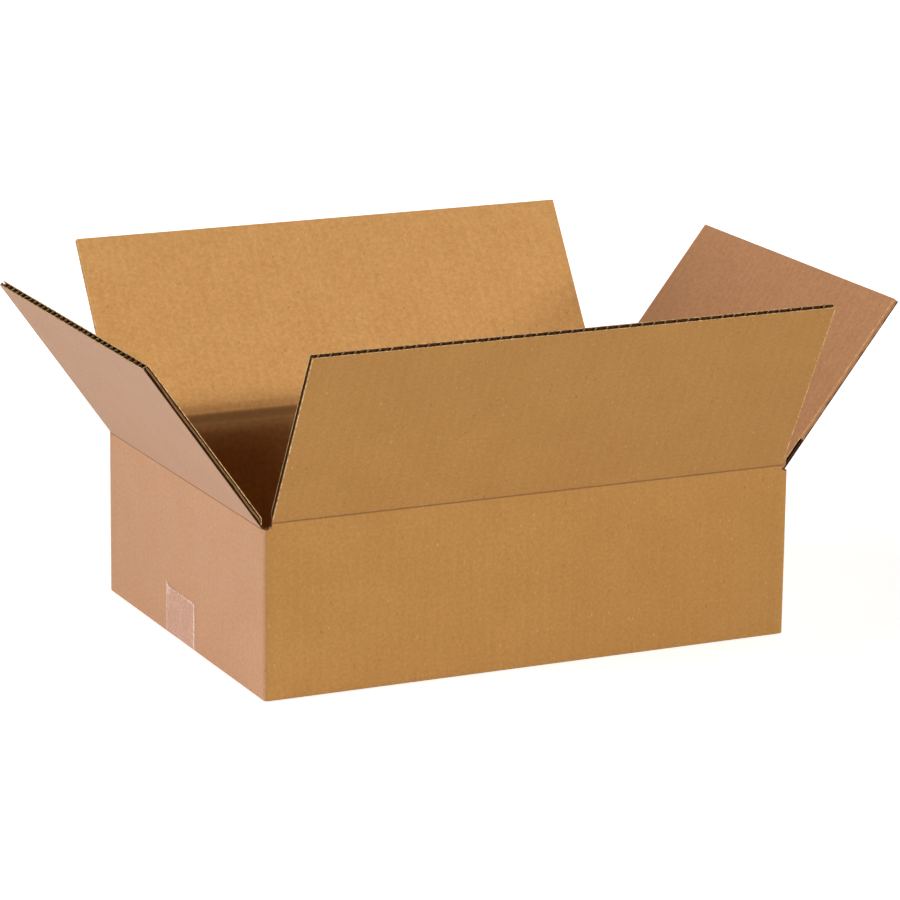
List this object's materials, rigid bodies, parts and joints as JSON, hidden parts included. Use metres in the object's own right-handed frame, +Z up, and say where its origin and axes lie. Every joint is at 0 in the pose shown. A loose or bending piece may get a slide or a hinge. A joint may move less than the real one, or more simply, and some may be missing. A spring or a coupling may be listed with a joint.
{
  "type": "cardboard shipping box",
  "caption": "Open, shallow corrugated cardboard box for shipping, with a taped bottom and top flaps that stand open and fold over its opening to close it.",
  "frame": {"origin": "centre of the footprint, on the surface the box stands on, which is the underside of the tape", "axes": "+X along the long walls to the right, +Y to the back, +Z up out of the opening"},
  "size_m": [0.5198, 0.3941, 0.231],
  "materials": {
    "kraft_walls": "matte",
    "kraft_front_flap": "matte",
    "kraft_back_flap": "matte",
    "kraft_left_flap": "matte",
    "kraft_right_flap": "matte",
    "clear_film": "gloss"
  },
  "bodies": {
    "carton": {"carton_body": "kraft_walls", "bottom_tape": "clear_film"},
    "front_flap": {"front_flap": "kraft_front_flap"},
    "back_flap": {"back_flap": "kraft_back_flap"},
    "left_flap": {"left_flap": "kraft_left_flap"},
    "right_flap": {"right_flap": "kraft_right_flap"}
  },
  "joints": [
    {"name": "front_crease", "type": "hinge", "parent": "carton", "child": "front_flap", "pos_m": [0, -0.131, 0.1134], "axis": [1, 0, 0], "range_deg": [-117.5, 112.5]},
    {"name": "back_crease", "type": "hinge", "parent": "carton", "child": "back_flap", "pos_m": [0, 0.131, 0.1134], "axis": [-1, 0, 0], "range_deg": [-123.4, 106.6]},
    {"name": "left_crease", "type": "hinge", "parent": "carton", "child": "left_flap", "pos_m": [-0.1818, 0, 0.1091], "axis": [0, -1, 0], "range_deg": [-125.6, 104.4]},
    {"name": "right_crease", "type": "hinge", "parent": "carton", "child": "right_flap", "pos_m": [0.1818, 0, 0.1091], "axis": [0, 1, 0], "range_deg": [-127.9, 102.1]}
  ]
}
